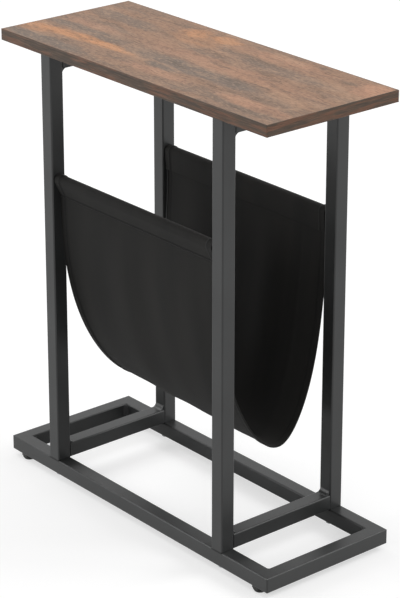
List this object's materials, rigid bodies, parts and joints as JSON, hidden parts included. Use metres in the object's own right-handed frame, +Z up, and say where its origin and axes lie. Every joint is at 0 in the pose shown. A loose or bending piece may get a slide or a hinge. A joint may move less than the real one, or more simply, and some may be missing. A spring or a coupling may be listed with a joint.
{
  "type": "magazine side table",
  "caption": "Narrow side table: a wood-print top on welded square-tube end frames, a flat base frame on screw feet, and a hanging cloth sling that holds magazines.",
  "frame": {"origin": "on the floor, under the middle of the table", "axes": "+X along the table's length, -Y out of its front long side, +Z up"},
  "size_m": [0.52, 0.206, 0.6],
  "materials": {
    "wood_print_board": "rustic wood-print laminate, satin",
    "wood_print_band": "dark wood-print edge band, satin",
    "frame_coat": "satin dark grey powder coat",
    "sling_cloth": "black woven polyester",
    "plated_steel": "zinc plated",
    "blackened_steel": "black zinc plated",
    "foot_plastic": "moulded black"
  },
  "bodies": {
    "frame": {"table_top": "wood_print_board", "front_edge_band": "wood_print_band", "rear_edge_band": "wood_print_band", "left_edge_band": "wood_print_band", "right_edge_band": "wood_print_band", "left_front_post": "frame_coat", "left_rear_post": "frame_coat", "left_bottom_cross_tube": "frame_coat", "left_top_cross_tube": "frame_coat", "left_frame_welds": "frame_coat", "right_front_post": "frame_coat", "right_rear_post": "frame_coat", "right_bottom_cross_tube": "frame_coat", "right_top_cross_tube": "frame_coat", "right_frame_welds": "frame_coat", "front_base_rail": "frame_coat", "rear_base_rail": "frame_coat", "left_base_rail": "frame_coat", "right_base_rail": "frame_coat", "base_welds": "frame_coat", "post_plates": "plated_steel", "base_bolts": "plated_steel", "base_washers": "plated_steel", "top_screws": "plated_steel", "front_sling_rod": "frame_coat", "rear_sling_rod": "frame_coat", "magazine_sling": "sling_cloth", "foot_nuts": "plated_steel"},
    "front_left_foot_pad": {"front_left_foot_pad": "foot_plastic"},
    "front_left_foot_stud": {"front_left_foot_stud": "blackened_steel"},
    "front_right_foot_pad": {"front_right_foot_pad": "foot_plastic"},
    "front_right_foot_stud": {"front_right_foot_stud": "blackened_steel"},
    "rear_left_foot_pad": {"rear_left_foot_pad": "foot_plastic"},
    "rear_left_foot_stud": {"rear_left_foot_stud": "blackened_steel"},
    "rear_right_foot_pad": {"rear_right_foot_pad": "foot_plastic"},
    "rear_right_foot_stud": {"rear_right_foot_stud": "blackened_steel"}
  },
  "joints": [
    {"name": "front_left_foot_travel", "type": "slide", "parent": "frame", "child": "front_left_foot_pad", "axis": [0, 0, -1], "range_m": [0, 0.008]},
    {"name": "front_left_foot_turn", "type": "hinge", "parent": "front_left_foot_pad", "child": "front_left_foot_stud", "pos_m": [-0.236, -0.09, 0], "axis": [0, 0, -1], "range_deg": [0, 2880]},
    {"name": "front_right_foot_travel", "type": "slide", "parent": "frame", "child": "front_right_foot_pad", "axis": [0, 0, -1], "range_m": [0, 0.008]},
    {"name": "front_right_foot_turn", "type": "hinge", "parent": "front_right_foot_pad", "child": "front_right_foot_stud", "pos_m": [0.236, -0.09, 0], "axis": [0, 0, -1], "range_deg": [0, 2880]},
    {"name": "rear_left_foot_travel", "type": "slide", "parent": "frame", "child": "rear_left_foot_pad", "axis": [0, 0, -1], "range_m": [0, 0.008]},
    {"name": "rear_left_foot_turn", "type": "hinge", "parent": "rear_left_foot_pad", "child": "rear_left_foot_stud", "pos_m": [-0.236, 0.09, 0], "axis": [0, 0, -1], "range_deg": [0, 2880]},
    {"name": "rear_right_foot_travel", "type": "slide", "parent": "frame", "child": "rear_right_foot_pad", "axis": [0, 0, -1], "range_m": [0, 0.008]},
    {"name": "rear_right_foot_turn", "type": "hinge", "parent": "rear_right_foot_pad", "child": "rear_right_foot_stud", "pos_m": [0.236, 0.09, 0], "axis": [0, 0, -1], "range_deg": [0, 2880]}
  ],
  "couplings": [
    {"joint": "front_left_foot_turn", "follows": "front_left_foot_travel", "rad_per_m": 6283.2},
    {"joint": "front_right_foot_turn", "follows": "front_right_foot_travel", "rad_per_m": 6283.2},
    {"joint": "rear_left_foot_turn", "follows": "rear_left_foot_travel", "rad_per_m": 6283.2},
    {"joint": "rear_right_foot_turn", "follows": "rear_right_foot_travel", "rad_per_m": 6283.2}
  ]
}
